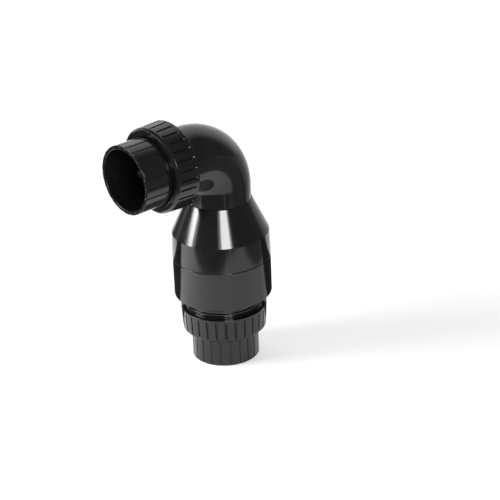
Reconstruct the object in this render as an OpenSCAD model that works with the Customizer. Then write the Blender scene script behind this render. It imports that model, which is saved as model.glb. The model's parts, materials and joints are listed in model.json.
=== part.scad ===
// Check (foot) valve with a 90 degree outlet elbow and a union at each end.
// +Z is up along the valve's own axis, and the outlet leaves towards -X.
// The origin is the centre of the inlet socket's mouth.

/* [Pipe sockets] */
// Inside radius of each pipe socket
pipe_r = 30.2; // [25:0.1:37]
// Depth of each pipe socket, from its mouth to the pipe stop
socket_depth = 38; // [30:0.5:46]
// Wall of each socket under its ribs
socket_wall = 2.85; // [2.2:0.05:3.6]
// Step in from the socket to the flow bore, which stops the pipe
stop_step = 3.2; // [2.5:0.1:4]
// Length of the wall between the pipe stop and the sealing face
stop_web = 4; // [3:0.5:6]
// Height of the socket ribs
rib_h = 0.8; // [0.4:0.1:1.2]
// Length of the socket ribs, from the mouth
rib_len = 28; // [20:0.5:29]
// Number of ribs round each socket
rib_count = 22; // [12:1:30]
// Width of the grooves between the socket ribs
rib_gap = 1.3; // [0.8:0.1:2.4]

/* [Union nuts] */
// Length of each union nut
nut_len = 25.1; // [22:0.1:32]
// Wall at the front of each union nut, which pulls on the flange
nut_front_wall = 5.7; // [4.5:0.1:7]
// Wall of each union nut outside its thread, at the back
nut_wall = 4.1; // [3.5:0.1:6]
// How much narrower the nut is at its front than at its back, in radius
nut_taper = 1.3; // [0:0.1:2]
// Chamfer round the nut's front edge
nut_chamfer = 2; // [0.5:0.1:3]
// Plain lip left at the nut's back edge
nut_lip = 2.4; // [1.5:0.1:4]
// Number of flutes round each nut
flute_count = 28; // [16:1:32]
// Radius of the round-nosed cut that makes a flute
flute_r = 1.1; // [0.6:0.1:1.4]

/* [Union threads] */
// Pitch of the union threads, right-handed
pitch = 4; // [3.6:0.1:5]
// Height of the thread ridges
thread_h = 1.7; // [1.2:0.1:2]
// Width of a thread ridge at its foot
thread_foot_w = 2.4; // [1.8:0.1:2.6]
// Width of a thread ridge at its crest
thread_crest_w = 1; // [0.6:0.1:1.4]
// Length of the thread on the inlet neck
inlet_thread_len = 19; // [12:0.5:22]
// Length of the thread on the outlet bush
outlet_thread_len = 9; // [8:0.5:11]

/* [Union flanges] */
// How far each flange stands out past the socket ribs
flange_step = 2.95; // [2:0.05:4]
// Thickness of each flange
flange_h = 6; // [4:0.5:8]

/* [Valve body] */
// Length of the inlet neck, from its sealing face to the body
neck_len = 27.5; // [24:0.5:36]
// Thickness of the body's floor
floor_h = 5.5; // [4.5:0.5:8]
// Wall of the lower housing
body_wall = 5.3; // [4.6:0.1:7]
// Visible height of the lower housing's cylinder
lower_h = 40.6; // [34:0.1:60]
// Height of the upper housing's skirt
skirt_h = 25.9; // [23:0.1:34]
// Height of the cone above the skirt
cone_h = 34.1; // [30:0.1:44]
// Wall of the skirt over the spigot
skirt_wall = 2.8; // [2.2:0.1:3.2]
// How far the skirt stands out past the lower housing
skirt_step = 0.3; // [0.1:0.1:0.8]
// How much the skirt narrows towards the cone, in radius
skirt_draft = 0.8; // [0:0.1:1.2]
// Length of the lower housing's spigot inside the skirt
spigot_len = 16; // [12:0.5:18]
// Wall of the cone
cone_wall = 5; // [4:0.5:6]
// Flat rim where the cone meets the elbow
cone_rim = 0.5; // [0.3:0.1:1.5]
// Depth of the elbow's socket in the cone
elbow_socket_depth = 16; // [12:0.5:20]

/* [Outlet elbow] */
// Wall of the elbow
tube_wall = 4.85; // [3.5:0.05:6]
// Straight length above the cone, before the bend
riser_h = 14.7; // [8:0.1:30]
// Radius of the bend at the tube's centre
bend_r = 37.8; // [34:0.1:50]
// Straight length after the bend
outlet_leg = 28.2; // [24:0.1:40]
// Length of the threaded bush on the elbow's end
bush_len = 14.6; // [13:0.1:18]
// Wall at the bush's end, which carries the seal
bush_end_wall = 4.6; // [4:0.1:6]

/* [Poppet and seat] */
// How far the poppet disc laps over the flow bore
seat_lap = 8.5; // [7:0.1:10]
// Width of the flow passage round the poppet
side_passage = 8; // [7:0.1:10]
// How far the poppet lifts
poppet_lift = 13; // [10:0.5:16]
// Thickness of the seat plate
seat_plate_h = 4; // [3:0.5:6]
// Height of the seat's raised lip
seat_lip_h = 2; // [1:0.5:3]
// Thickness of the poppet's rubber seal
seal_h = 3; // [2:0.5:4]
// Thickness of the poppet disc
disc_h = 6; // [4:0.5:8]
// Height of the disc's centre boss
boss_h = 6; // [3:0.5:8]
// Radius of the disc's centre boss
boss_r = 9; // [7:0.5:10]
// Radius of the stem
stem_r = 4; // [3:0.5:5]
// Thickness of the seal's retaining plate
retainer_h = 3.5; // [2.5:0.5:5]

/* [Guide cage] */
// Thickness of the cage's legs, radially
leg_t = 3.6; // [2.5:0.1:4.5]
// Angle that each leg covers
leg_angle = 14; // [8:1:24]
// Number of legs and arms
leg_count = 4; // [3:1:6]
// Height of the cage's two rings
cage_ring_h = 4; // [3:0.5:6]
// Length of the guide hub
hub_len = 19; // [14:0.5:24]
// Wall of the guide bush
bush_wall = 2.5; // [1.5:0.5:3]
// Wall of the guide hub
hub_wall = 3; // [2:0.5:4]
// Width of the arms
arm_w = 3.4; // [2.5:0.1:5]

/* [Spring] */
// Wire diameter of the closing spring
wire_d = 1.6; // [1:0.1:2.2]
// Number of turns of the closing spring
spring_turns = 6; // [4:0.5:8]

/* [Seals] */
// Section diameter of the O-rings
ring_d = 3.5; // [3:0.1:4]
// Height that each O-ring is squeezed to
ring_h = 2.8; // [2.4:0.1:3.2]

/* [Clearances] */
// Gap between a nut's hole and the socket that passes through it
slip_gap = 0.35; // [0.2:0.05:0.6]
// Gap between the crest of one thread and the root of the other
thread_gap = 0.4; // [0.3:0.05:0.5]
// Gap between a flange and the nut's thread crest, beyond the thread gap
flange_gap = 0.1; // [0.05:0.05:0.3]
// Gap in a cemented or captive joint
joint_gap = 0.05; // [0.02:0.01:0.1]
// Running gap between the stem and its bush
stem_gap = 0.05; // [0.02:0.01:0.09]
// Gap beside an O-ring in its groove
groove_gap = 0.4; // [0.2:0.1:0.6]

/* [Hidden] */
$fn = 96;
over = 1;

// Union sizes, from the socket outwards, measured from the socket's mouth
socket_base_r = pipe_r + socket_wall;
socket_r = socket_base_r + rib_h;
flow_r = pipe_r - stop_step;
flange_r = socket_r + flange_step;
face_z = socket_depth + stop_web;
flange_z = face_z - flange_h;
root_r = flange_r + flange_gap;
crest_r = root_r + thread_h;
nut_crest_r = root_r + thread_gap;
nut_root_r = crest_r + thread_gap;
nut_back_r = nut_root_r + nut_wall;
nut_front_r = nut_back_r - nut_taper;
nut_front_z = flange_z - nut_front_wall;
nut_back_z = nut_front_z + nut_len;
nut_hole_r = socket_r + slip_gap;
lip_start_z = nut_back_z - nut_lip;

// Threads: the neck's ridge starts past the sealing face, and the nut's lies half a pitch on
thread_start = 3;
thread_z = face_z + thread_start;
nut_thread_end = 1.4;
nut_thread_z = thread_z - pitch / 2 - pitch * floor((thread_z - pitch / 2 - flange_z - 2 * thread_foot_w) / pitch);
thread_steps = 28;
fade_steps = 5;
thread_bite = 0.4;

// Seals
ring_mid_r = (flow_r + root_r) / 2;
groove_half_w = ring_d / 2 + groove_gap;

// Valve body, from the seat outwards and from the floor upwards
poppet_r = flow_r + seat_lap;
chamber_r = poppet_r + side_passage;
body_r = chamber_r + body_wall;
floor_z = face_z + neck_len;
seat_z = floor_z + floor_h;
skirt_z = floor_z + lower_h;
cone_z = skirt_z + skirt_h;
cone_top_z = cone_z + cone_h;
skirt_r = body_r + skirt_step;
cone_base_r = skirt_r - skirt_draft;
spigot_r = body_r - skirt_wall;
spigot_z = skirt_z + spigot_len;
skirt_bore_r = spigot_r + joint_gap;
rim_round = 1;
edge_round = 0.5;

// Elbow and outlet
tube_r = flow_r + tube_wall;
elbow_foot_z = cone_top_z - elbow_socket_depth;
cone_top_r = tube_r + joint_gap + cone_rim;
ledge_h = 2;
bend_z = cone_top_z + riser_h;
outlet_z = bend_z + bend_r;
tube_end_x = bend_r + outlet_leg;
outlet_face_x = tube_end_x + bush_end_wall;
outlet_mouth_x = outlet_face_x + face_z;

// Seat and poppet
seat_top_z = seat_z + seat_plate_h;
seal_z = seat_top_z + seat_lip_h;
lip_in_r = flow_r + 1.5;
lip_foot_w = 3.6;
lip_top_w = 1.8;
disc_z = seal_z + seal_h;
disc_top_z = disc_z + disc_h;
boss_top_z = disc_top_z + boss_h;
collar_h = 2;
collar_r = stem_r + 2.6;
seal_r = poppet_r - 1;
retainer_r = flow_r - 2;
washer_h = 1.5;
washer_r = stem_r + 5;
stem_nut_h = 5;
stem_nut_r = stem_r + 3.4;
stem_tail = 1.5;
retainer_z = seal_z - retainer_h;
washer_z = retainer_z - washer_h;
stem_nut_z = washer_z - stem_nut_h;
stem_foot_z = stem_nut_z - stem_tail;

// Guide cage: it stands on the seat plate and is held down by the upper housing
stop_gap = 0.3;
hub_z = boss_top_z + collar_h + poppet_lift + stop_gap;
bush_out_r = stem_r + stem_gap + bush_wall;
hub_r = bush_out_r + hub_wall;
hub_top_z = hub_z + hub_len;
cage_r = chamber_r - joint_gap;
leg_in_r = cage_r - leg_t;
leg_inset = 0.3;
cage_top_z = spigot_z + cage_ring_h;
capture_r = spigot_r - joint_gap;
spring_r = boss_r + wire_d / 2 + 1;
plate_r = spring_r + wire_d / 2 + 1.2;
plate_h = 3;
spring_top_z = hub_z + 7;
spring_gap = 0.05;
stem_top_z = hub_top_z + 3;
spring_steps = 22;
wire_sides = 6;
closed_pitch = 1.06;

plastic = "#1a1b1d";
rubber = "#0c0c0c";
steel = "#b9bcc0";
nylon = "#e9e6da";

// ---- Shapes that several sub-parts share ----

module tube(outer, inner, z, h) {
    translate([0, 0, z])
        difference() {
            cylinder(r = outer, h = h);
            translate([0, 0, -over]) cylinder(r = inner, h = h + 2 * over);
        }
}

// A union is drawn from its socket's mouth upwards. This puts one on the outlet.
module at_outlet() {
    translate([-outlet_mouth_x, 0, outlet_z]) rotate([0, 90, 0]) children();
}

// Four corners of a thread ridge's section at each step along the helix
function ridge_points(foot_r, tip_r, z, steps) = [
    for (i = [0:steps])
        let (
            a = i * 360 / thread_steps,
            rise = min(1, (i + 1) / fade_steps, (steps - i + 1) / fade_steps),
            r = foot_r + (tip_r - foot_r) * rise,
            c = z + pitch * i / thread_steps
        )
        each [
            [foot_r * cos(a), foot_r * sin(a), c - thread_foot_w / 2],
            [r * cos(a), r * sin(a), c - thread_crest_w / 2],
            [r * cos(a), r * sin(a), c + thread_crest_w / 2],
            [foot_r * cos(a), foot_r * sin(a), c + thread_foot_w / 2]
        ]
];

// Triangles that join rings of corners into a closed bar
function bar_sides(rings, sides) = [
    for (i = [0:rings - 2])
        for (j = [0:sides - 1])
            let (
                a = sides * i + j,
                b = sides * i + (j + 1) % sides,
                c = a + sides,
                d = b + sides
            )
            each [[a, b, c], [b, d, c]]
];

function bar_ends(rings, sides) = [
    [for (j = [sides - 1:-1:0]) j],
    [for (j = [0:sides - 1]) sides * (rings - 1) + j]
];

module bar(points, rings, sides, flipped) {
    faces = concat(bar_sides(rings, sides), bar_ends(rings, sides));
    turned = [for (f = faces) [for (k = [len(f) - 1:-1:0]) f[k]]];
    polyhedron(points = points, faces = flipped ? turned : faces, convexity = 8);
}

module thread_ridge(foot_r, tip_r, z, length) {
    steps = round(length / pitch * thread_steps);
    bar(ridge_points(foot_r, tip_r, z, steps), steps + 1, 4, tip_r < foot_r);
}

module neck_ridge(length) {
    thread_ridge(root_r - thread_bite, crest_r, thread_z, length);
}

// Groove for an O-ring in an upright face, cut from z upwards by h
module ring_groove(z) {
    tube(ring_mid_r + groove_half_w, ring_mid_r - groove_half_w, z, ring_h);
}

module o_ring(z) {
    intersection() {
        translate([0, 0, z + ring_h / 2])
            rotate_extrude() translate([ring_mid_r, 0]) circle(d = ring_d, $fn = 32);
        translate([0, 0, z]) cylinder(r = root_r, h = ring_h);
    }
}

// ---- Unions, drawn from the socket's mouth ----

module tailpiece() {
    difference() {
        union() {
            cylinder(r = socket_base_r, h = face_z);
            cylinder(r = socket_r, h = rib_len);
            translate([0, 0, flange_z]) cylinder(r = flange_r, h = flange_h);
        }
        for (i = [0:rib_count - 1])
            rotate([0, 0, (i + 0.5) * 360 / rib_count])
                translate([socket_base_r, -rib_gap / 2, -over])
                    cube([rib_h + over, rib_gap, rib_len + 2 * over]);
        translate([0, 0, -over]) cylinder(r = pipe_r, h = socket_depth + over);
        cylinder(r = flow_r, h = face_z + over);
    }
}

module flute() {
    lean = atan(nut_taper / nut_len);
    foot_z = nut_front_z + nut_chamfer + 2 * flute_r;
    foot_r = nut_front_r + (foot_z - nut_front_z) * tan(lean);
    translate([foot_r, 0, foot_z])
        rotate([0, lean, 0]) {
            cylinder(r = flute_r, h = lip_start_z - foot_z, $fn = 24);
            sphere(r = flute_r, $fn = 24);
        }
}

module union_nut() {
    difference() {
        rotate_extrude()
            polygon([
                [nut_hole_r, nut_front_z],
                [nut_front_r - nut_chamfer, nut_front_z],
                [nut_front_r, nut_front_z + nut_chamfer],
                [nut_back_r, nut_back_z],
                [nut_root_r, nut_back_z],
                [nut_root_r, flange_z],
                [nut_hole_r, flange_z]
            ]);
        for (i = [0:flute_count - 1])
            rotate([0, 0, i * 360 / flute_count]) flute();
    }
    thread_ridge(nut_root_r + thread_bite, nut_crest_r, nut_thread_z,
        nut_back_z - nut_thread_end - nut_thread_z);
}

// ---- Valve body ----

module lower_housing() {
    color(plastic)
        difference() {
            union() {
                translate([0, 0, face_z]) cylinder(r = root_r, h = neck_len + over);
                neck_ridge(inlet_thread_len);
                rotate_extrude()
                    polygon([
                        [0, floor_z],
                        [body_r - rim_round, floor_z],
                        [body_r, floor_z + rim_round],
                        [body_r, skirt_z],
                        [spigot_r, skirt_z],
                        [spigot_r, spigot_z],
                        [0, spigot_z]
                    ]);
            }
            translate([0, 0, seat_z]) cylinder(r = chamber_r, h = spigot_z);
            translate([0, 0, face_z - over]) cylinder(r = flow_r, h = seat_z);
            ring_groove(face_z);
            ring_groove(seat_z - ring_h);
        }
}

module upper_housing() {
    slope = (cone_base_r - cone_top_r) / cone_h;
    inner_z = elbow_foot_z - 2 * ledge_h;
    inner_r = cone_base_r - cone_wall - slope * (inner_z - cone_z);
    color(plastic)
        rotate_extrude()
            polygon([
                [skirt_bore_r, skirt_z],
                [skirt_r - edge_round, skirt_z],
                [skirt_r, skirt_z + edge_round],
                [cone_base_r, cone_z],
                [cone_top_r, cone_top_z],
                [tube_r + joint_gap, cone_top_z],
                [tube_r + joint_gap, elbow_foot_z - joint_gap],
                [flow_r, elbow_foot_z - joint_gap],
                [flow_r, elbow_foot_z - ledge_h],
                [inner_r, inner_z],
                [cone_base_r - cone_wall, cone_z],
                [chamber_r, cage_top_z + joint_gap],
                [skirt_bore_r, cage_top_z + joint_gap]
            ]);
}

module outlet_elbow() {
    color(plastic)
        union() {
            tube(tube_r, flow_r, elbow_foot_z, bend_z - elbow_foot_z);
            translate([-bend_r, 0, bend_z])
                rotate([90, 0, 0])
                    rotate_extrude(angle = 90)
                        translate([bend_r, 0])
                            difference() {
                                circle(r = tube_r);
                                circle(r = flow_r);
                            }
            translate([-tube_end_x, 0, outlet_z])
                rotate([0, 90, 0]) tube(tube_r, flow_r, 0, outlet_leg);
        }
}

module outlet_threaded_bush() {
    color(plastic)
        at_outlet()
            difference() {
                union() {
                    translate([0, 0, face_z]) cylinder(r = root_r, h = bush_len);
                    neck_ridge(outlet_thread_len);
                }
                translate([0, 0, face_z - over]) cylinder(r = flow_r, h = bush_len + 2 * over);
                translate([0, 0, face_z + bush_end_wall - joint_gap])
                    cylinder(r = tube_r + joint_gap, h = bush_len);
                ring_groove(face_z);
            }
}

module inlet_o_ring() {
    color(rubber) o_ring(face_z);
}

module outlet_o_ring() {
    color(rubber) at_outlet() o_ring(face_z);
}

module seat_o_ring() {
    color(rubber) o_ring(seat_z - ring_h);
}

module seat_ring() {
    color(plastic)
        rotate_extrude()
            polygon([
                [flow_r, seat_z],
                [cage_r, seat_z],
                [cage_r, seat_top_z],
                [lip_in_r + lip_foot_w, seat_top_z],
                [lip_in_r + (lip_foot_w + lip_top_w) / 2, seal_z],
                [lip_in_r + (lip_foot_w - lip_top_w) / 2, seal_z],
                [lip_in_r, seat_top_z],
                [flow_r, seat_top_z]
            ]);
}

module leg() {
    rotate([0, 0, -leg_angle / 2])
        translate([0, 0, seat_top_z + cage_ring_h / 2])
            rotate_extrude(angle = leg_angle)
                translate([leg_in_r + leg_inset, 0])
                    square([leg_t - 2 * leg_inset, spigot_z - seat_top_z]);
}

module arm() {
    translate([bush_out_r + hub_wall / 2, -arm_w / 2, spring_top_z + leg_inset])
        cube([leg_in_r + leg_t / 2 - bush_out_r - hub_wall / 2, arm_w,
            cage_top_z - spring_top_z - 2 * leg_inset]);
}

module hub() {
    rotate_extrude()
        polygon([
            [bush_out_r, hub_z],
            [hub_r, hub_z],
            [hub_r, spring_top_z],
            [plate_r, spring_top_z],
            [plate_r, spring_top_z + plate_h],
            [hub_r, spring_top_z + plate_h],
            [hub_r, hub_top_z],
            [bush_out_r, hub_top_z]
        ]);
}

module guide_cage() {
    color(plastic)
        union() {
            tube(cage_r, leg_in_r, seat_top_z, cage_ring_h);
            tube(capture_r, leg_in_r, spigot_z, cage_ring_h);
            hub();
            for (i = [0:leg_count - 1])
                rotate([0, 0, i * 360 / leg_count]) {
                    leg();
                    arm();
                }
        }
}

module guide_bush() {
    color(nylon) tube(bush_out_r, stem_r + stem_gap, hub_z, hub_len);
}

// ---- Poppet ----

module poppet_disc() {
    rim_drop = 2.5;
    color(plastic)
        difference() {
            rotate_extrude()
                polygon([
                    [0, disc_z],
                    [poppet_r, disc_z],
                    [poppet_r, disc_top_z - rim_drop],
                    [spring_r + wire_d + 1, disc_top_z],
                    [boss_r, disc_top_z],
                    [boss_r, boss_top_z],
                    [0, boss_top_z]
                ]);
            translate([0, 0, disc_z - over]) cylinder(r = stem_r, h = disc_h + boss_h + 2 * over);
        }
}

module poppet_seal() {
    color(rubber) tube(seal_r, stem_r, seal_z, seal_h);
}

module seal_retainer() {
    color(plastic) tube(retainer_r, stem_r, retainer_z, retainer_h);
}

module poppet_stem() {
    color(steel)
        union() {
            translate([0, 0, stem_foot_z]) cylinder(r = stem_r, h = stem_top_z - stem_foot_z);
            translate([0, 0, boss_top_z]) cylinder(r = collar_r, h = collar_h);
        }
}

module stem_washer() {
    color(steel) tube(washer_r, stem_r, washer_z, washer_h);
}

module stem_nut() {
    color(steel)
        translate([0, 0, stem_nut_z])
            difference() {
                cylinder(r = stem_nut_r, h = stem_nut_h, $fn = 6);
                translate([0, 0, -over]) cylinder(r = stem_r, h = stem_nut_h + 2 * over);
            }
}

// Height of the wire's centre after u turns, with a closed turn at each end
function coil_z(u, length) =
    let (shut = wire_d * closed_pitch, open = (length - wire_d - 2 * shut) / (spring_turns - 2))
    wire_d / 2 + (u < 1 ? shut * u
        : u > spring_turns - 1 ? length - wire_d - shut * (spring_turns - u)
        : shut + open * (u - 1));

module closing_spring() {
    length = spring_top_z - disc_top_z - 2 * spring_gap;
    steps = round(spring_turns * spring_steps);
    points = [
        for (i = [0:steps])
            let (a = i * 360 / spring_steps, c = coil_z(i / spring_steps, length))
            for (j = [0:wire_sides - 1])
                let (b = j * 360 / wire_sides, r = spring_r + wire_d / 2 * cos(b))
                [r * cos(a), r * sin(a), c + wire_d / 2 * sin(b)]
    ];
    color(steel)
        translate([0, 0, disc_top_z + spring_gap]) bar(points, steps + 1, wire_sides, true);
}

// ---- The two unions' own sub-parts ----

module inlet_tailpiece() {
    color(plastic) tailpiece();
}

module inlet_union_nut() {
    color(plastic) union_nut();
}

module outlet_tailpiece() {
    color(plastic) at_outlet() tailpiece();
}

module outlet_union_nut() {
    color(plastic) at_outlet() union_nut();
}

lower_housing();
upper_housing();
outlet_elbow();
outlet_threaded_bush();
seat_ring();
seat_o_ring();
guide_cage();
guide_bush();
inlet_o_ring();
outlet_o_ring();
poppet_disc();
poppet_seal();
seal_retainer();
poppet_stem();
stem_washer();
stem_nut();
closing_spring();
inlet_tailpiece();
inlet_union_nut();
outlet_tailpiece();
outlet_union_nut();
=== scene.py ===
"""Looks for the foot valve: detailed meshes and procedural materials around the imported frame.

The pieces are worked out in millimetres and made in metres. The stage, lights and camera are in metres.
A union end is drawn in its own frame, from its socket's mouth (z = 0) towards the valve.
"""

import json
import math

import bpy
from mathutils import Matrix, Vector


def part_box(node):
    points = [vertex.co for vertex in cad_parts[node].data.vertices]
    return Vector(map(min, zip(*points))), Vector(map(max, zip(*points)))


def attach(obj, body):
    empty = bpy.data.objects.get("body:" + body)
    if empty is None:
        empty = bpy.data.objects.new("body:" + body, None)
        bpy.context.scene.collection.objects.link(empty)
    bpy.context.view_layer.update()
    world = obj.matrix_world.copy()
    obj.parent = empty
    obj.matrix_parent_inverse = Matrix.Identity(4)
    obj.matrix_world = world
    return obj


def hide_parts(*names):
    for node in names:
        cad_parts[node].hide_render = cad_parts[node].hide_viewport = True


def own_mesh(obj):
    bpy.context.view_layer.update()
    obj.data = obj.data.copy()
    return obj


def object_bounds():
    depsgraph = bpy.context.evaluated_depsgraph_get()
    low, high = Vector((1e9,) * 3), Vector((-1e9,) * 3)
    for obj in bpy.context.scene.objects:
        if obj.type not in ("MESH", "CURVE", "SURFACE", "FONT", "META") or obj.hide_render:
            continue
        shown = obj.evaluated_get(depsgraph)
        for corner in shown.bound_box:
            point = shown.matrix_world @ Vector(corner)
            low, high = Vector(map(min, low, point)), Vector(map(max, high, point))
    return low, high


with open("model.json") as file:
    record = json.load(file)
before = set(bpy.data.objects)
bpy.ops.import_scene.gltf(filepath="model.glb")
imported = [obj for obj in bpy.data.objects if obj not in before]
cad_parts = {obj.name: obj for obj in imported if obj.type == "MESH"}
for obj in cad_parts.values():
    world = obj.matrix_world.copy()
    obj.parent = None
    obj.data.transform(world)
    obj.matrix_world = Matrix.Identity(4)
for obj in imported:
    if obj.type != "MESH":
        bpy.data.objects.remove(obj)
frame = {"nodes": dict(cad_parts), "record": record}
cad_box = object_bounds()

MM = 0.001
TURN = 2 * math.pi


# ---------------------------------------------------------------- sizes from the frame

def low(node):
    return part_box(node)[0] / MM


def high(node):
    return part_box(node)[1] / MM


MOUNTS = {m["name"]: m for m in frame["record"]["mounts"]}
PIPE_R = MOUNTS["inlet_socket"]["dims"]["r_mm"]
SOCKET_DEPTH = MOUNTS["inlet_socket"]["dims"]["length_mm"]
OUTLET = Vector(MOUNTS["outlet_socket"]["pos_m"]) / MM

# Unions, measured from the socket's mouth
FACE_Z = high("inlet_tailpiece").z
FLANGE_R = high("inlet_tailpiece").x
NUT_FRONT_Z = low("inlet_union_nut").z
NUT_BACK_Z = high("inlet_union_nut").z
NUT_BACK_R = high("inlet_union_nut").x
SOCKET_WALL = 2.85
RIB_H = 0.8
RIB_LEN = 28.0
RIB_COUNT = 22
RIB_GAP = 1.45
STOP_STEP = 3.2
FLANGE_H = 6.0
NUT_TAPER = 1.3
NUT_CHAMFER = 2.0
NUT_LIP = 2.4
NUT_WALL = 4.1
FLUTE_COUNT = 28
FLUTE_R = 1.1
SLIP_GAP = 0.35
PITCH = 4.0
THREAD_H = 1.7
THREAD_FOOT_W = 2.4
THREAD_CREST_W = 1.0
THREAD_START = 3.0
NUT_THREAD_END = 1.4
INLET_THREAD_LEN = 19.0
OUTLET_THREAD_LEN = 9.0
FLANGE_GAP = 0.1
FIT_GAP = 0.05
SOCKET_BASE_R = PIPE_R + SOCKET_WALL
SOCKET_R = SOCKET_BASE_R + RIB_H
FLOW_R = PIPE_R - STOP_STEP
FLANGE_Z = FACE_Z - FLANGE_H
ROOT_R = FLANGE_R + FLANGE_GAP
NUT_ROOT_R = NUT_BACK_R - NUT_WALL
NUT_FRONT_R = NUT_BACK_R - NUT_TAPER
NUT_HOLE_R = SOCKET_R + SLIP_GAP
NUT_SLOPE = NUT_TAPER / (NUT_BACK_Z - NUT_FRONT_Z)
THREAD_Z = FACE_Z + THREAD_START

# Valve body
BODY_R = high("lower_housing").x
SPIGOT_Z = high("lower_housing").z
SKIRT_Z = low("upper_housing").z
SKIRT_R = high("upper_housing").x
CONE_TOP_Z = high("upper_housing").z
NECK_LEN = 27.5
SKIRT_H = 25.9
FLOOR_Z = FACE_Z + NECK_LEN
CONE_Z = SKIRT_Z + SKIRT_H
TUBE_R = high("outlet_elbow").x
SEAT_Z = low("seat_ring").z
CHAMBER_R = high("seat_ring").x + FIT_GAP
SKIRT_WALL = 2.8
SPIGOT_R = BODY_R - SKIRT_WALL
SKIRT_DRAFT = 0.8
CONE_BASE_R = SKIRT_R - SKIRT_DRAFT
CONE_RIM = 0.5
TUBE_HOLE_R = TUBE_R + FIT_GAP
CONE_TOP_R = TUBE_HOLE_R + CONE_RIM
CONE_WALL = 5.0
ELBOW_FOOT_Z = low("outlet_elbow").z
TUBE_END_X = -low("outlet_elbow").x
BEND_R = 37.8
BEND_Z = OUTLET.z - BEND_R
CAGE_TOP_Z = high("guide_cage").z

# A shadow gap under the skirt, which the CAD doesn't have
GAP_H = 0.8
GAP_DEEP = 0.8

# O-rings: the part's own grooves, with the ring squeezed between two faces
RING_D = 3.5
RING_H = 2.8
GROOVE_GAP = 0.4
RING_MID_R = (FLOW_R + ROOT_R) / 2
GROOVE_IN_R = RING_MID_R - RING_D / 2 - GROOVE_GAP
GROOVE_OUT_R = RING_MID_R + RING_D / 2 + GROOVE_GAP

# Poppet's stem and spring
STEM_R = 4.0
WIRE_D = 1.6
SPRING_R = high("closing_spring").x - WIRE_D / 2
SPRING_Z, SPRING_TOP = low("closing_spring").z, high("closing_spring").z
SPRING_TURNS = 6
SPRING_LEN = SPRING_TOP - SPRING_Z


# ---------------------------------------------------------------- mesh helpers

def smooth(t):
    t = min(1.0, max(0.0, t))
    return t * t * (3 - 2 * t)


def rounded(corners, steps=5, hold=0.12):
    """A closed outline from (r, z, fillet) corners, with an arc at each corner that has a fillet."""
    points = []
    count = len(corners)
    for i, (r, z, fillet) in enumerate(corners):
        here = Vector((r, z))
        if fillet <= 0:
            points.append(here)
            continue
        back = Vector(corners[i - 1][:2]) - here
        ahead = Vector(corners[(i + 1) % count][:2]) - here
        angle = back.angle(ahead)
        reach = min(fillet / math.tan(angle / 2), back.length * 0.45, ahead.length * 0.45)
        radius = reach * math.tan(angle / 2)
        back.normalize()
        ahead.normalize()
        centre = here + (back + ahead).normalized() * radius / math.sin(angle / 2)
        start = here + back * reach - centre
        sweep = math.pi - angle
        end = here + ahead * reach - centre
        turn = 1 if start.x * end.y - start.y * end.x > 0 else -1
        points.append(here + back * (reach + hold))
        for k in range(steps + 1):
            a = turn * sweep * k / steps
            spun = Vector((start.x * math.cos(a) - start.y * math.sin(a),
                           start.x * math.sin(a) + start.y * math.cos(a)))
            points.append(centre + spun)
        points.append(here + ahead * (reach + hold))
    return points


def even_angles(count):
    return [TURN * i / count for i in range(count)]


def polar(r, angle, z):
    """A point in metres, from its radius, angle and height in millimetres."""
    return (r * math.cos(angle) * MM, r * math.sin(angle) * MM, z * MM)


def ring_faces(columns, rows):
    """Faces of a ring of closed columns, each with this many points."""
    faces = []
    for i in range(columns):
        here, ahead = i * rows, (i + 1) % columns * rows
        for j in range(rows):
            k = (j + 1) % rows
            faces.append((here + j, here + k, ahead + k, ahead + j))
    return faces


def lathe(name, outline, angles, shape=None, place=None):
    """Turns a closed outline of (r, z) points about z. shape(angle, r, z) may move a point in or out."""
    verts = []
    for a in angles:
        for r, z in outline:
            if shape:
                r = shape(a, r, z)
            verts.append(polar(r, a, z))
    return make_piece(name, verts, ring_faces(len(angles), len(outline)), place)


def linked_mesh(name, verts, faces):
    mesh = bpy.data.meshes.new(name)
    mesh.from_pydata(verts, [], faces)
    made = bpy.data.objects.new(name, mesh)
    bpy.context.scene.collection.objects.link(made)
    return made


def make_piece(name, verts, faces, place=None):
    """A smooth closed mesh of one piece, facing outwards."""
    piece = linked_mesh(name, verts, faces)
    if place is not None:
        piece.data.transform(place)
    piece.data.validate()
    piece.data.polygons.foreach_set("use_smooth", [True] * len(piece.data.polygons))
    face_outwards(piece.data)
    return piece


def face_outwards(mesh):
    """Turns the whole closed mesh inside out if its volume comes out negative."""
    mesh.calc_loop_triangles()
    volume = 0.0
    for t in mesh.loop_triangles:
        a, b, c = (mesh.vertices[k].co for k in t.vertices)
        volume += a.dot(b.cross(c))
    if volume < 0:
        mesh.flip_normals()


def stretch(start, end, count):
    """Points between two (r, z) corners, ends left out."""
    a, b = Vector(start), Vector(end)
    return [a.lerp(b, k / (count + 1)) for k in range(1, count + 1)]


def refined(outline, keep, spacing):
    """Adds points to the outline's long straight edges where keep(a, b) is true."""
    out = []
    for i, p in enumerate(outline):
        q = outline[(i + 1) % len(outline)]
        out.append(p)
        gap = (q - p).length
        if gap > spacing and keep(p, q):
            out += stretch(p, q, int(gap / spacing))
    return out


def on_wall(radius):
    """A test for refined: does the edge lie on the straight wall of this radius?"""
    return lambda a, b: abs(a.x - radius) < 0.01 and abs(b.x - radius) < 0.01


# ---------------------------------------------------------------- ribs, flutes and threads

def ring_angles(count, offsets, radius):
    """Angles round a ring of count repeats, each sampled at offsets either side of its centre.

    The offsets are lengths along the ring at this radius, and the land between two repeats gets a few more.
    """
    period = TURN / count
    inner = [o / radius for o in offsets]
    half = [-a for a in reversed(inner)] + [0.0] + inner
    span = inner[-1]
    parts = 5
    land = [span + (period - 2 * span) * k / parts for k in range(1, parts)]
    return sorted((period * i + a) % TURN for i in range(count) for a in half + land)


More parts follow.
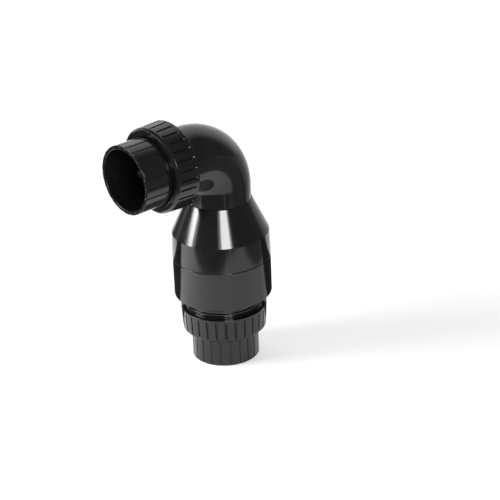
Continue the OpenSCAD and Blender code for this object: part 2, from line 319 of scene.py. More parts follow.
GROOVE_SOFT = 0.20
GROOVE_OFFSETS = [RIB_GAP / 2 + GROOVE_SOFT * k for k in (-1.2, -1.0, -0.5, 0.0, 0.5, 1.0, 1.25)]


def rib_shape(angle, r, z):
    """The socket's ribs: lands between narrow grooves, half a pitch off the X axis."""
    if r <= SOCKET_BASE_R or z > RIB_LEN + 0.01:
        return r
    period = TURN / RIB_COUNT
    away = abs(angle % period - period / 2) * SOCKET_R
    depth = smooth((RIB_GAP / 2 + GROOVE_SOFT - away) / (2 * GROOVE_SOFT))
    return SOCKET_BASE_R + (r - SOCKET_BASE_R) * (1 - depth)


def rib_angles():
    period = TURN / RIB_COUNT
    return sorted((a + period / 2) % TURN for a in ring_angles(RIB_COUNT, GROOVE_OFFSETS, SOCKET_R))


FLUTE_CUT = FLUTE_R * 1.4
FLUTE_SOFT = 1.16
FLUTE_KNEE = 0.86
FLUTE_SAMPLES = (0.3, 0.55, 0.75, FLUTE_KNEE, 0.93, 1.01, 1.09, FLUTE_SOFT, FLUTE_SOFT + 0.07)
FLUTE_OFFSETS = [FLUTE_R * k for k in FLUTE_SAMPLES]
FLUTE_FOOT_Z = NUT_FRONT_Z + NUT_CHAMFER + 2 * FLUTE_R
FLUTE_TOP_Z = NUT_BACK_Z - NUT_LIP
FLUTE_TOP_SOFT = 0.35


def flute_depth(u):
    """Depth of a ball-nosed cut at u radii from its centre, with its edge eased."""
    if u >= FLUTE_SOFT:
        return 0.0
    if u <= FLUTE_KNEE:
        return math.sqrt(1 - u * u)
    knee = math.sqrt(1 - FLUTE_KNEE ** 2)
    t = (FLUTE_SOFT - u) / (FLUTE_SOFT - FLUTE_KNEE)
    return knee * t * t


def nut_outside_r(z):
    return NUT_FRONT_R + (z - NUT_FRONT_Z) * NUT_SLOPE


def flute_shape(angle, r, z):
    """The nut's flutes: round-nosed cuts from just behind its front chamfer to its back lip."""
    if r < nut_outside_r(z) - 0.02 or not NUT_FRONT_Z + NUT_CHAMFER * 0.5 < z < NUT_BACK_Z - 0.4:
        return r
    period = TURN / FLUTE_COUNT
    side = ((angle + period / 2) % period - period / 2) * r
    below = max(0.0, FLUTE_FOOT_Z - z)
    cut = FLUTE_CUT * flute_depth(math.hypot(side, below) / FLUTE_R)
    return r - cut * smooth((FLUTE_TOP_Z - z) / FLUTE_TOP_SOFT + 0.5)


def thread_height(angle, z, start_z, length):
    """Share of a right-hand ridge's height at this point. The ridge starts at angle 0 and start_z."""
    end_turns = 0.18
    spare_turns = 0.04
    along = (z - start_z) / PITCH - angle / TURN
    turn = round(along)
    ran = turn + angle / TURN
    turns = length / PITCH
    if ran < -spare_turns or ran > turns + spare_turns:
        return 0.0
    away = abs(along - turn) * PITCH
    flank = (THREAD_FOOT_W - THREAD_CREST_W) / 2
    ramp = smooth((THREAD_FOOT_W / 2 - away) / flank)
    fade = smooth(min(ran, turns - ran) / end_turns + 0.2)
    return ramp * fade


def outside_thread(length):
    """A shape for lathe: a thread of this length on the wall at ROOT_R."""
    def shape(angle, r, z):
        if abs(r - ROOT_R) < 0.001:
            return r + THREAD_H * thread_height(angle, z, THREAD_Z, length)
        return r

    return shape


def ring_groove(start_r, end_r, face_z, foot_z):
    """Corners of an O-ring's groove in a face, from its edge at start_r to its edge at end_r."""
    return [(start_r, face_z, 0.15), (start_r, foot_z, 0.2), (end_r, foot_z, 0.2), (end_r, face_z, 0.15)]


def outlet_place():
    """Puts a union end drawn from its mouth onto the outlet."""
    turned = Matrix(((0, 0, 1, 0), (0, 1, 0, 0), (-1, 0, 0, 0), (0, 0, 0, 1)))
    return Matrix.Translation(OUTLET * MM) @ turned


# ---------------------------------------------------------------- pieces

def tailpiece(name, place):
    outline = rounded([
        (PIPE_R, 0, 0.5),
        (SOCKET_R, 0, 0.5),
        (SOCKET_R, RIB_LEN, 0.35),
        (SOCKET_BASE_R, RIB_LEN, 0.25),
        (SOCKET_BASE_R, FLANGE_Z, 0.5),
        (FLANGE_R, FLANGE_Z, 0.4),
        (FLANGE_R, FACE_Z, 0.4),
        (FLOW_R, FACE_Z, 0.3),
        (FLOW_R, SOCKET_DEPTH, 0.4),
        (PIPE_R, SOCKET_DEPTH, 0.3),
    ])
    return lathe(name, outline, rib_angles(), rib_shape, place)


def union_nut(name, place):
    outline = rounded([
        (NUT_HOLE_R, NUT_FRONT_Z, 0.5),
        (NUT_FRONT_R - NUT_CHAMFER, NUT_FRONT_Z, 0.35),
        (NUT_FRONT_R + NUT_CHAMFER * NUT_SLOPE, NUT_FRONT_Z + NUT_CHAMFER, 0.5),
        (NUT_BACK_R, NUT_BACK_Z, 0.45),
        (NUT_ROOT_R, NUT_BACK_Z, 0.5),
        (NUT_ROOT_R, FLANGE_Z, 0.6),
        (NUT_HOLE_R, FLANGE_Z, 0.3),
    ])
    first_z = THREAD_Z - PITCH / 2
    steps = math.floor((first_z - (FLANGE_Z + THREAD_FOOT_W * 2)) / PITCH)
    nut_thread_z = first_z - PITCH * steps
    length = NUT_BACK_Z - NUT_THREAD_END - nut_thread_z

    def shape(angle, r, z):
        if abs(r - NUT_ROOT_R) < 0.001:
            return r - THREAD_H * thread_height(angle, z, nut_thread_z, length)
        return flute_shape(angle, r, z)

    def on_outside(a, b):
        return min(a.x, b.x) > NUT_FRONT_R - 0.5 and abs(a.y - b.y) > 5

    outline = refined(outline, on_outside, 0.55)
    outline = refined(outline, on_wall(NUT_ROOT_R), 0.25)
    angles = ring_angles(FLUTE_COUNT, FLUTE_OFFSETS, NUT_BACK_R)
    return lathe(name, outline, angles, shape, place)


def lower_housing():
    outline = rounded([
        (FLOW_R, FACE_Z, 0.3),
        *ring_groove(GROOVE_IN_R, GROOVE_OUT_R, FACE_Z, FACE_Z + RING_H),
        (ROOT_R, FACE_Z, 0.5),
        (ROOT_R, FLOOR_Z, 1.2),
        (BODY_R, FLOOR_Z, 0.5),
        (BODY_R, SKIRT_Z - GAP_H, 0.4),
        (BODY_R - GAP_DEEP, SKIRT_Z - GAP_H, 0.1),
        (BODY_R - GAP_DEEP, SKIRT_Z, 0.1),
        (SPIGOT_R, SKIRT_Z, 0.2),
        (SPIGOT_R, SPIGOT_Z, 0.4),
        (CHAMBER_R, SPIGOT_Z, 0.3),
        (CHAMBER_R, SEAT_Z, 0.5),
        *ring_groove(GROOVE_OUT_R, GROOVE_IN_R, SEAT_Z, SEAT_Z - RING_H),
        (FLOW_R, SEAT_Z, 0.4),
    ])
    outline = refined(outline, on_wall(ROOT_R), 0.2)
    return lathe("lower_housing_moulding", outline, even_angles(240), outside_thread(INLET_THREAD_LEN))


def upper_housing():
    slope = (CONE_BASE_R - CONE_TOP_R) / (CONE_TOP_Z - CONE_Z)
    ledge_h = 2.0
    inner_z = ELBOW_FOOT_Z - 2 * ledge_h
    inner_r = CONE_BASE_R - CONE_WALL - slope * (inner_z - CONE_Z)
    spigot_hole_r = SPIGOT_R + FIT_GAP
    elbow_stop_z = ELBOW_FOOT_Z - FIT_GAP
    cage_stop_z = CAGE_TOP_Z + FIT_GAP
    outline = rounded([
        (spigot_hole_r, SKIRT_Z, 0.2),
        (SKIRT_R, SKIRT_Z, 0.35),
        (CONE_BASE_R, CONE_Z, 0.5),
        (CONE_TOP_R, CONE_TOP_Z, 0.25),
        (TUBE_HOLE_R, CONE_TOP_Z, 0.15),
        (TUBE_HOLE_R, elbow_stop_z, 0.2),
        (FLOW_R, elbow_stop_z, 0.3),
        (FLOW_R, ELBOW_FOOT_Z - ledge_h, 0.5),
        (inner_r, inner_z, 1.5),
        (CONE_BASE_R - CONE_WALL, CONE_Z, 2.0),
        (CHAMBER_R, cage_stop_z, 0.2),
        (spigot_hole_r, cage_stop_z, 0.2),
    ])
    return lathe("upper_housing_moulding", outline, even_angles(240))


def elbow():
    """The elbow's outer and inner walls, swept along riser, bend and outlet leg, closed at both ends."""
    path = []
    riser_steps, bend_steps, leg_steps = 8, 40, 8
    for k in range(riser_steps):
        path.append((Vector((0, 0, ELBOW_FOOT_Z + (BEND_Z - ELBOW_FOOT_Z) * k / riser_steps)), 0.0))
    for k in range(bend_steps + 1):
        a = math.pi / 2 * k / bend_steps
        path.append((Vector((-BEND_R + BEND_R * math.cos(a), 0, BEND_Z + BEND_R * math.sin(a))), a))
    for k in range(1, leg_steps + 1):
        x = BEND_R + (TUBE_END_X - BEND_R) * k / leg_steps
        path.append((Vector((-x, 0, OUTLET.z)), math.pi / 2))
    end_ease = 0.4
    ends = (0, len(path) - 1)
    loop = [(i, TUBE_R) for i in range(len(path))] + [(i, FLOW_R) for i in reversed(range(len(path)))]
    columns = 160
    verts = []
    for b in even_angles(columns):
        for k, radius in loop:
            centre, a = path[k]
            if k in ends and radius == TUBE_R:
                radius -= end_ease
            outward = Vector((math.cos(a), 0, math.sin(a)))
            around = math.cos(b) * outward + math.sin(b) * Vector((0, 1, 0))
            verts.append((centre + radius * around) * MM)
    return make_piece("outlet_elbow_moulding", verts, ring_faces(columns, len(loop)))


def threaded_bush():
    bush_len = 14.6
    end_wall = 4.6
    back_z = FACE_Z + bush_len
    tube_stop_z = FACE_Z + end_wall - FIT_GAP
    outline = rounded([
        (FLOW_R, FACE_Z, 0.3),
        *ring_groove(GROOVE_IN_R, GROOVE_OUT_R, FACE_Z, FACE_Z + RING_H),
        (ROOT_R, FACE_Z, 0.5),
        (ROOT_R, back_z, 0.5),
        (TUBE_HOLE_R, back_z, 0.3),
        (TUBE_HOLE_R, tube_stop_z, 0.2),
        (FLOW_R, tube_stop_z, 0.2),
    ])
    outline = refined(outline, on_wall(ROOT_R), 0.2)
    thread = outside_thread(OUTLET_THREAD_LEN)
    return lathe("outlet_bush_moulding", outline, even_angles(240), thread, outlet_place())


def o_ring(name, z, place=None):
    """A rubber ring squeezed between two faces: a circle cut flat top and bottom."""
    half = RING_H / 2
    lift = math.asin(half / (RING_D / 2))
    steps = 8
    outline = []
    for side in (1, -1):
        for k in range(steps + 1):
            a = side * (lift - 2 * lift * k / steps)
            r = RING_MID_R + side * RING_D / 2 * math.cos(a)
            outline.append(Vector((r, z + half + RING_D / 2 * math.sin(a))))
    return lathe(name, outline, even_angles(160), None, place)


def plain_ring(name, outer, inner, z, height, fillet, inner_fillet):
    outline = rounded([
        (inner, z, inner_fillet),
        (outer, z, fillet),
        (outer, z + height, fillet),
        (inner, z + height, inner_fillet),
    ])
    return lathe(name, outline, even_angles(128))


def hex_nut(name, bore, corner_r, z, height):
    """A plain hexagon nut with its corners chamfered at both faces."""
    flat_r = corner_r * math.cos(math.pi / 6)
    chamfer_r = flat_r * 0.97
    slope = math.tan(math.radians(30))
    bore_ease = 0.4
    face_r = chamfer_r - 0.3
    face_ease = 0.04
    side_ease = 0.05
    top = z + height
    columns = 120
    verts = []
    for a in even_angles(columns):
        side_r = min(corner_r, flat_r / math.cos(a % (math.pi / 3) - math.pi / 6))
        drop = max(0.0, side_r - chamfer_r) * slope
        column = [
            (bore, z + bore_ease),
            (bore + bore_ease, z),
            (face_r, z),
            (chamfer_r, z + face_ease),
            (side_r, z + drop + side_ease),
            (side_r, top - drop - side_ease),
            (chamfer_r, top - face_ease),
            (face_r, top),
            (bore + bore_ease, top),
            (bore, top - bore_ease),
        ]
        verts += [polar(r, a, h) for r, h in column]
    return make_piece(name, verts, ring_faces(columns, len(column)))


def coil_height(u, length, wire, turns):
    """Height of the wire's centre after u turns, with a closed turn at each end."""
    shut = wire * 1.06
    rise = (length - wire - 2 * shut) / (turns - 2)
    if u < 1:
        return wire / 2 + shut * u
    if u > turns - 1:
        return wire / 2 + length - wire - shut * (turns - u)
    return wire / 2 + shut + rise * (u - 1)


def coil_spring(name, mean_r, wire, turns, z, length):
    """A round wire swept up a coil, with its two cut ends slightly thinner and closed flat."""
    steps, sides = 64, 16
    count = turns * steps
    verts = []
    for i in range(count + 1):
        a = TURN * i / steps
        centre_z = z + coil_height(i / steps, length, wire, turns)
        from_end = min(i, count - i)
        thin = 0.55 + 0.45 * smooth(from_end / 3)
        for b in even_angles(sides):
            r = mean_r + wire / 2 * thin * math.cos(b)
            verts.append(polar(r, a, centre_z + wire / 2 * thin * math.sin(b)))
    faces = []
    for i in range(count):
        for j in range(sides):
            k = (j + 1) % sides
            faces.append((i * sides + j, (i + 1) * sides + j, (i + 1) * sides + k, i * sides + k))
    faces.append(tuple(reversed(range(sides))))
    faces.append(tuple(range(count * sides, (count + 1) * sides)))
    return make_piece(name, verts, faces)


def seat_ring():
    plate_h = 4.0
    lip_in_r = FLOW_R + 1.5
    lip_foot_w = 3.6
    lip_top_w = 1.8
    seat_top = SEAT_Z + plate_h
    outer = high("seat_ring").x
    lip_z = high("seat_ring").z
    outline = rounded([
        (FLOW_R, SEAT_Z, 0.3),
        (outer, SEAT_Z, 0.3),
        (outer, seat_top, 0.3),
        (lip_in_r + lip_foot_w, seat_top, 0.4),
        (lip_in_r + (lip_foot_w + lip_top_w) / 2, lip_z, 0.5),
        (lip_in_r + (lip_foot_w - lip_top_w) / 2, lip_z, 0.5),
        (lip_in_r, seat_top, 0.4),
        (FLOW_R, seat_top, 0.4),
    ])
    return lathe("seat_ring_moulding", outline, even_angles(192))


def poppet_disc():
    foot, top = low("poppet_disc").z, high("poppet_disc").z
    edge_r = high("poppet_disc").x
    boss_r = 9.0
    boss_h = 6.0
    boss_foot_w = 4.4
    edge_drop = 2.5
    face = top - boss_h
    outline = rounded([
        (STEM_R, foot, 0.2),
        (edge_r, foot, 0.5),
        (edge_r, face - edge_drop, 0.8),
        (boss_r + boss_foot_w, face, 1.2),
        (boss_r, face, 0.5),
        (boss_r, top, 0.6),
        (STEM_R, top, 0.3),
    ])
    return lathe("poppet_disc_moulding", outline, even_angles(160))


def poppet_stem():
    foot, top = low("poppet_stem").z, high("poppet_stem").z
    collar_r = high("poppet_stem").x
    collar_z = high("poppet_disc").z
    collar_h = 2.0
    outline = rounded([
        (0, foot, 0),
        (STEM_R, foot, 0.6),
        (STEM_R, collar_z, 0.1),
        (collar_r, collar_z, 0.3),
        (collar_r, collar_z + collar_h, 0.4),
        (STEM_R, collar_z + collar_h, 0.3),
        (STEM_R, top, 0.8),
        (0, top, 0),
    ])
    return lathe("poppet_stem_turned", outline, even_angles(96))


def stacked(name, node, fillet):
    """A plain ring on the stem, as wide and as thick as its CAD node."""
    foot, top = low(node).z, high(node).z
    return plain_ring(name, high(node).x, STEM_R, foot, top - foot, fillet, 0.15)


def stem_nut():
    foot, top = low("stem_nut").z, high("stem_nut").z
    return hex_nut("stem_hex_nut", STEM_R, high("stem_nut").x, foot, top - foot)


def guide_bush():
    foot, top = low("guide_bush").z, high("guide_bush").z
    return plain_ring("guide_bush_sleeve", high("guide_bush").x, STEM_R + FIT_GAP, foot, top - foot, 0.4, 0.4)


def add_piece(piece, node, body):
    """Makes the piece stand for its CAD node, moving with this body."""
    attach(piece, body)
    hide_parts(node)
    return piece


plastic_pieces = [
    add_piece(lower_housing(), "lower_housing", "housing"),
    add_piece(upper_housing(), "upper_housing", "housing"),
    add_piece(elbow(), "outlet_elbow", "housing"),
    add_piece(threaded_bush(), "outlet_threaded_bush", "housing"),
    add_piece(seat_ring(), "seat_ring", "housing"),
    add_piece(poppet_disc(), "poppet_disc", "poppet"),
    add_piece(stacked("seal_retainer_moulding", "seal_retainer", 0.8),
              "seal_retainer", "poppet"),
    add_piece(tailpiece("inlet_tailpiece_moulding", None),
              "inlet_tailpiece", "inlet_union_end"),
    add_piece(tailpiece("outlet_tailpiece_moulding", outlet_place()),
              "outlet_tailpiece", "outlet_union_end"),
    add_piece(union_nut("inlet_nut_moulding", None),
              "inlet_union_nut", "inlet_nut"),
    add_piece(union_nut("outlet_nut_moulding", outlet_place()),
              "outlet_union_nut", "outlet_nut"),
]
rubber_pieces = [
    add_piece(o_ring("inlet_seal_ring", FACE_Z), "inlet_o_ring", "housing"),
    add_piece(o_ring("outlet_seal_ring", FACE_Z, outlet_place()),
              "outlet_o_ring", "housing"),
    add_piece(o_ring("seat_seal_ring", SEAT_Z - RING_H), "seat_o_ring", "housing"),
    add_piece(stacked("poppet_seal_ring", "poppet_seal", 0.5), "poppet_seal", "poppet"),
]
nylon_pieces = [
    add_piece(guide_bush(), "guide_bush", "housing"),
]
steel_pieces = [
    add_piece(poppet_stem(), "poppet_stem", "poppet"),
    add_piece(stacked("stem_washer_plate", "stem_washer", 0.25),
              "stem_washer", "poppet"),
    add_piece(stem_nut(), "stem_nut", "poppet"),
]
spring = coil_spring("closing_spring_coil", SPRING_R, WIRE_D, SPRING_TURNS, SPRING_Z, SPRING_LEN)
add_piece(spring, "closing_spring", "housing")
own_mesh(spring)
steel_pieces.append(spring)


# ---------------------------------------------------------------- materials

class Graph:
    """A material with one Principled shader, and short calls for the nodes that feed it."""

    def __init__(self, name):
        self.material = bpy.data.materials.new(name)
        self.material.use_nodes = True
        self.nodes = self.material.node_tree.nodes
        self.links = self.material.node_tree.links
        self.shader = self.nodes["Principled BSDF"]
        self.point = self.nodes.new("ShaderNodeTexCoord").outputs["Object"]

    def feed(self, socket, value):
        if isinstance(value, bpy.types.NodeSocket):
            self.links.new(value, socket)
        else:
            socket.default_value = value

    def put(self, name, value):
        self.feed(self.shader.inputs[name], value)

    def scaled(self, x, y, z):
        node = self.nodes.new("ShaderNodeMapping")
        self.links.new(self.point, node.inputs["Vector"])
        node.inputs["Scale"].default_value = (x, y, z)
        return node.outputs["Vector"]

    def noise(self, scale, detail=3.0, rough=0.5, vector=None, warp=0.0):
        node = self.nodes.new("ShaderNodeTexNoise")
        self.links.new(vector or self.point, node.inputs["Vector"])
        node.inputs["Scale"].default_value = scale
        node.inputs["Detail"].default_value = detail
        node.inputs["Roughness"].default_value = rough
        node.inputs["Distortion"].default_value = warp
        return node.outputs["Fac"]

    def remap(self, value, from_low, from_high, to_low, to_high):
        node = self.nodes.new("ShaderNodeMapRange")
        self.links.new(value, node.inputs["Value"])
        node.inputs["From Min"].default_value = from_low
        node.inputs["From Max"].default_value = from_high
        node.inputs["To Min"].default_value = to_low
        node.inputs["To Max"].default_value = to_high
        return node.outputs["Result"]

    def calc(self, a, b, kind="ADD"):
        node = self.nodes.new("ShaderNodeMath")
        node.operation = kind
        self.feed(node.inputs[0], a)
        self.feed(node.inputs[1], b)
        return node.outputs[0]

    def tint(self, factor, a, b):
        node = self.nodes.new("ShaderNodeMix")
        node.data_type = "RGBA"
        self.feed(node.inputs["Factor"], factor)
        self.feed(node.inputs["A"], a)
        self.feed(node.inputs["B"], b)
        return node.outputs["Result"]

    def bump(self, height, strength, distance, under=None):
        node = self.nodes.new("ShaderNodeBump")
        node.inputs["Strength"].default_value = strength
        node.inputs["Distance"].default_value = distance
        self.links.new(height, node.inputs["Height"])
        if under:
            self.links.new(under, node.inputs["Normal"])
        return node.outputs["Normal"]

    def edges(self, start, end):
        """1 on sharp outside edges and 0 on flat ground, between these two pointiness values."""
        node = self.nodes.new("ShaderNodeNewGeometry")
        return self.remap(node.outputs["Pointiness"], start, end, 0.0, 1.0)

    def scratches(self, vector, scale, width):
        """Thin random lines where a stretched noise crosses its middle value."""
        lines = self.noise(scale, 2.0, 0.5, vector)
        away = self.calc(self.calc(lines, 0.5, "SUBTRACT"), 0.0, "ABSOLUTE")
        return self.remap(away, 0.0, width, 1.0, 0.0)


def black_pvc():
    g = Graph("black_pvc_moulded")
    cloud = g.noise(22.0, 4.0, 0.55)
    grime = g.remap(g.noise(9.0, 5.0, 0.6, warp=0.4), 0.48, 0.72, 0.0, 1.0)
    wear = g.calc(g.edges(0.52, 0.60), g.remap(g.noise(160.0, 3.0, 0.6), 0.35, 0.7, 0.0, 1.0), "MULTIPLY")
    long_marks = g.scratches(g.scaled(30.0, 30.0, 240.0), 1.2, 0.006)
    cross_marks = g.scratches(g.scaled(230.0, 150.0, 26.0), 1.0, 0.005)
    patches = g.remap(g.noise(14.0, 2.0, 0.5), 0.54, 0.66, 0.0, 1.0)
    marks = g.calc(g.calc(long_marks, cross_marks, "MAXIMUM"), patches, "MULTIPLY")
    specks = g.remap(g.noise(1500.0, 1.0, 0.5), 0.74, 0.80, 0.0, 1.0)
    mottle = g.remap(cloud, 0.3, 0.7, 0.0, 1.0)
    body = g.tint(mottle, (0.0040, 0.0042, 0.0046, 1), (0.0062, 0.0064, 0.0067, 1))
    worn = g.tint(g.calc(wear, 0.25, "MULTIPLY"), body, (0.030, 0.031, 0.033, 1))
    dusty = g.tint(g.calc(specks, 0.25, "MULTIPLY"), worn, (0.07, 0.069, 0.065, 1))
    g.put("Base Color", dusty)
    gloss = g.remap(cloud, 0.3, 0.7, 0.095, 0.130)
    gloss = g.calc(gloss, g.calc(grime, 0.045, "MULTIPLY"))
    gloss = g.calc(gloss, g.calc(marks, 0.16, "MULTIPLY"))
    gloss = g.calc(gloss, g.calc(wear, 0.12, "MULTIPLY"))
    g.put("Roughness", gloss)
    waves = g.bump(g.noise(30.0, 1.0, 0.5), 0.10, 0.0004)
    peel = g.bump(g.noise(620.0, 2.0, 0.5), 0.04, 0.00008, waves)
    g.put("Normal", g.bump(marks, 0.10, 0.00004, peel))
    g.put("IOR", 1.49)
    return g.material


def seal_rubber():
    g = Graph("seal_rubber_matt")
    bloom = g.remap(g.noise(45.0, 4.0, 0.6), 0.35, 0.7, 0.0, 1.0)
    g.put("Base Color", g.tint(bloom, (0.010, 0.010, 0.010, 1), (0.028, 0.027, 0.026, 1)))
    g.put("Roughness", g.remap(g.noise(120.0, 3.0, 0.6), 0.3, 0.7, 0.42, 0.66))
    g.put("Normal", g.bump(g.noise(1300.0, 3.0, 0.6), 0.25, 0.0001))
    return g.material


def stainless_steel():
    g = Graph("stainless_steel_turned")
    rings = g.noise(1.0, 3.0, 0.6, g.scaled(120.0, 120.0, 5200.0))
    stain = g.remap(g.noise(60.0, 4.0, 0.6), 0.45, 0.75, 0.0, 1.0)
    g.put("Base Color", g.tint(stain, (0.55, 0.555, 0.56, 1), (0.40, 0.385, 0.36, 1)))
    g.put("Metallic", 1.0)
    g.put("Roughness", g.calc(g.remap(rings, 0.3, 0.7, 0.20, 0.34), g.calc(stain, 0.10, "MULTIPLY")))
    g.put("Normal", g.bump(rings, 0.18, 0.00006))
    return g.material


def guide_nylon():
    g = Graph("guide_nylon_matt")
    tone = g.remap(g.noise(70.0, 4.0, 0.6), 0.3, 0.7, 0.0, 1.0)
    g.put("Base Color", g.tint(tone, (0.74, 0.72, 0.64, 1), (0.80, 0.785, 0.71, 1)))
    g.put("Roughness", g.remap(g.noise(200.0, 3.0, 0.5), 0.3, 0.7, 0.38, 0.52))
    g.put("Subsurface Weight", 0.12)
    g.put("Subsurface Radius", (0.004, 0.0036, 0.003))
    g.put("Normal", g.bump(g.noise(900.0, 2.0, 0.5), 0.15, 0.0001))
    return g.material


def pale_floor():
    """A nearly white floor whose own glow grows with distance, so that it has no visible end."""
    g = Graph("pale_floor")
    tone = g.remap(g.noise(3.0, 4.0, 0.6), 0.3, 0.7, 0.0, 1.0)
    g.put("Base Color", g.tint(tone, (0.80, 0.80, 0.80, 1), (0.815, 0.815, 0.815, 1)))
    g.put("Roughness", g.remap(g.noise(200.0, 3.0, 0.5), 0.3, 0.7, 0.70, 0.80))
    g.put("Specular IOR Level", 0.2)
    far = g.nodes.new("ShaderNodeVectorMath")
    far.operation = "LENGTH"
    g.links.new(g.point, far.inputs[0])
    g.put("Emission Color", (1, 1, 1, 1))
    g.put("Emission Strength", g.remap(far.outputs["Value"], 0.25, 1.8, 0.33, 0.85))
    return g.material


def glowing_card(name, glow, behind_glow=None):
    """A dull surface with an even glow, or one that changes from beside the object to behind it."""
    g = Graph(name)
    if behind_glow is not None:
        apart = g.nodes.new("ShaderNodeSeparateXYZ")
        g.links.new(g.point, apart.inputs["Vector"])
        toward_back = g.calc(apart.outputs["Y"], apart.outputs["X"], "DIVIDE")
        glow = g.remap(toward_back, 0.0, 1.7, glow, behind_glow)
    g.put("Base Color", (0.005, 0.005, 0.005, 1))
    g.put("Roughness", 1.0)
    g.put("Specular IOR Level", 0.0)
    g.put("Emission Color", (1, 1, 1, 1))
    g.put("Emission Strength", glow)
    return g.material


def finish_with(pieces, material):
    for piece in pieces:
        piece.data.materials.clear()
        piece.data.materials.append(material)


pvc = black_pvc()
finish_with(plastic_pieces, pvc)
finish_with(rubber_pieces, seal_rubber())
finish_with(steel_pieces, stainless_steel())
finish_with(nylon_pieces, guide_nylon())

# The guide cage keeps its CAD mesh and takes the same plastic
for holder in frame["nodes"]["guide_cage"].material_slots:
    holder.material = pvc


# ---------------------------------------------------------------- stage, lights and camera

# The camera: its place round, above and away from the origin, then how far it looks off the origin
CAMERA_TURN = math.radians(39.66)
CAMERA_RISE = 0.5028
CAMERA_FAR = 1.708
CAMERA_LENS = 120.05
CAMERA_PITCH = -0.0589
CAMERA_YAW = 0.0171
CAMERA_ROLL = 0.0483

# The stage is laid out as the camera sees it: x to the camera's right, y away from it, z up
FROM_CAMERA = Matrix.Rotation(-CAMERA_TURN, 3, "Z")
AIM = Vector(((low("outlet_elbow").x + BODY_R) / 2 * MM, 0, OUTLET.z / 2 * MM))
CARD_Z = 0.0005


def camera():
    back = Vector((0, -math.cos(CAMERA_RISE), math.sin(CAMERA_RISE)))
    tilt = CAMERA_RISE + CAMERA_PITCH
    tilted = Matrix(((1, 0, 0), (0, math.sin(tilt), math.cos(tilt)), (0, -math.cos(tilt), math.sin(tilt))))
    to_camera = Matrix.Rotation(CAMERA_ROLL, 3, "Z") @ Matrix.Rotation(CAMERA_YAW, 3, "Y") @ tilted
    data = bpy.data.cameras.new("photo_camera")
    data.lens = CAMERA_LENS
    data.sensor_width = 36.0
    data.clip_start = 0.05
    data.clip_end = 60.0
    made = bpy.data.objects.new("photo_camera", data)
    bpy.context.scene.collection.objects.link(made)
    place = (FROM_CAMERA @ to_camera.transposed()).to_4x4()
    place.translation = FROM_CAMERA @ back * CAMERA_FAR
    made.matrix_world = place
    bpy.context.scene.camera = made


def direction(turn, rise):
    """The direction from the object turn degrees to the camera's right and rise degrees up."""
    around = -math.pi / 2 - CAMERA_TURN + math.radians(turn)
    up = math.radians(rise)
    return Vector((math.cos(around) * math.cos(up), math.sin(around) * math.cos(up), math.sin(up)))


def area_light(name, place, back, width, height, watts):
    """A rectangular light with its back to this direction, which the camera doesn't see."""
    data = bpy.data.lights.new(name, "AREA")
    data.shape = "RECTANGLE"
    data.size = width
    data.size_y = height
    data.energy = watts
    made = bpy.data.objects.new(name, data)
    bpy.context.scene.collection.objects.link(made)
    made.location = place
    made.rotation_mode = "QUATERNION"
    made.rotation_quaternion = back.to_track_quat("Z", "Y")
    made.visible_camera = False
    return made


def softbox(name, turn, rise, far, width, height, watts):
    """A light that faces the object from this direction and distance."""
    back = direction(turn, rise)
    area_light(name, AIM + back * far, back, width, height, watts)


def table_pool():
    """A small light over the table at the object's left, for a pool of light there."""
    place = FROM_CAMERA @ Vector((-0.37, -0.02, 0.25))
    pool = area_light("table_pool", place, direction(0, 90), width=0.2, height=0.2, watts=1.0)
    pool.visible_glossy = False


def floor():
    half = 8.0
    corners = [(-half, -half, 0), (half, -half, 0), (half, half, 0), (-half, half, 0)]
    made = linked_mesh("floor", corners, [(0, 1, 2, 3)])
    made.location.z = min(0.0, cad_box[0].z)
    made.data.materials.append(pale_floor())


def backdrop():
    """A pale wall far round the floor's edge, for low views. Only the camera sees it."""
    radius, top, sides = 7.6, 9.0, 64
    verts = [(radius * math.cos(a), radius * math.sin(a), z) for a in even_angles(sides) for z in (-top, top)]
    count = len(verts)
    faces = [(i, i + 1, (i + 3) % count, (i + 2) % count) for i in range(0, count, 2)]
    made = linked_mesh("backdrop", verts, faces)
    made.data.materials.append(glowing_card("backdrop_surface", 0.93))
    made.visible_diffuse = False
    made.visible_glossy = False
    made.visible_shadow = False


def reflection_card(name, corners, glow, behind_glow=None):
    """A card that only reflections see, with its corners as the camera sees the stage."""
    made = linked_mesh(name, corners, [tuple(range(len(corners)))])
    made.matrix_world = FROM_CAMERA.to_4x4()
    made.data.materials.append(glowing_card(name + "_surface", glow, behind_glow))
    made.visible_camera = False
    made.visible_diffuse = False
    made.visible_shadow = False


def table_card(name, corners, glow, behind_glow=None):
    """A reflection card that lies just above the floor."""
    reflection_card(name, [(x, y, CARD_Z) for x, y in corners], glow, behind_glow)


def table_strip(name, x_range, y_range, glow, behind_glow=None):
    """A rectangular table card."""
    (left, right), (front, back) = x_range, y_range
    table_card(name, [(left, front), (right, front), (right, back), (left, back)], glow, behind_glow)


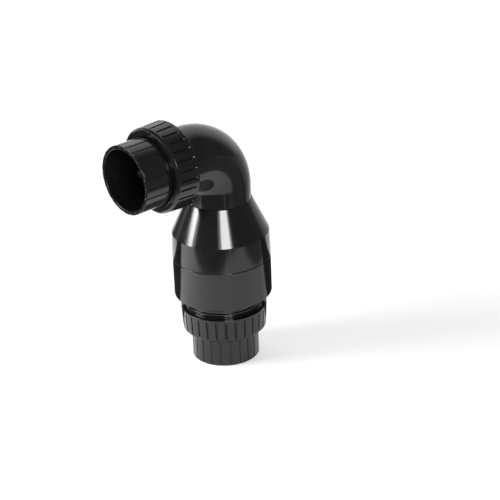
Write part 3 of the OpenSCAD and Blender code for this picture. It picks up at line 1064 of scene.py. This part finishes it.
def table_edge():
    """Dimness past the table's right, front and left edges, brighter on the right towards the back."""
    side, left, far = 0.29, -0.40, 7.9
    front_x, front_y = -0.30, -0.18
    front_side = 0.275
    table_strip("table_right", (side, far), (-far, far), 0.2, 1.1)
    table_card("table_front", [
        (front_x, -far),
        (front_side, -far),
        (front_side, -0.88),
        (0.108, -0.35),
        (0.060, -0.355),
        (0.035, -0.335),
        (front_x, front_y),
    ], 0.13)
    table_card("table_front_right", [(0.120, -0.348), (side, -0.85), (side, -0.30)], 0.15)
    table_strip("table_corner", (left, front_x), (-far, front_y), 0.13)
    table_strip("table_left", (-far, left), (-far, far), 0.13)


def back_band():
    """A low dark band close behind the valve, where the photo's hose darkens its reflections."""
    half, back, top = 1.2, 0.058, 0.075
    corners = [(-half, back, CARD_Z), (half, back, CARD_Z), (half, back, top), (-half, back, top)]
    reflection_card("back_band", corners, 0.03)


def surroundings(dim, bright, start, end):
    """Dim air, turning bright behind the object. start and end are cosines of the angle from there."""
    world = bpy.data.worlds.new("studio_air")
    world.use_nodes = True
    nodes, links = world.node_tree.nodes, world.node_tree.links
    behind = FROM_CAMERA @ Vector((0, 0.995, 0.10))
    toward = nodes.new("ShaderNodeVectorMath")
    toward.operation = "DOT_PRODUCT"
    toward.inputs[1].default_value = behind
    links.new(nodes.new("ShaderNodeTexCoord").outputs["Generated"], toward.inputs[0])
    ramp = nodes.new("ShaderNodeMapRange")
    ramp.interpolation_type = "SMOOTHSTEP"
    links.new(toward.outputs["Value"], ramp.inputs["Value"])
    ramp.inputs["From Min"].default_value = start
    ramp.inputs["From Max"].default_value = end
    ramp.inputs["To Min"].default_value = dim
    ramp.inputs["To Max"].default_value = bright
    nodes["Background"].inputs["Color"].default_value = (1, 1, 1, 1)
    links.new(ramp.outputs["Result"], nodes["Background"].inputs["Strength"])
    bpy.context.scene.world = world


camera()
floor()
backdrop()
table_edge()
back_band()
surroundings(dim=0.15, bright=1.2, start=0.30, end=0.76)
softbox("softbox_left", turn=-83, rise=22, far=1.5, width=0.60, height=0.42, watts=16)
softbox("softbox_left_glow", turn=-84, rise=22, far=1.49, width=1.05, height=0.46, watts=5)
softbox("softbox_front", turn=12, rise=24, far=1.7, width=0.60, height=0.46, watts=15)
softbox("softbox_front_glow", turn=11, rise=24, far=1.69, width=0.90, height=0.56, watts=5)
table_pool()
bpy.context.scene.view_settings.view_transform = "Standard"
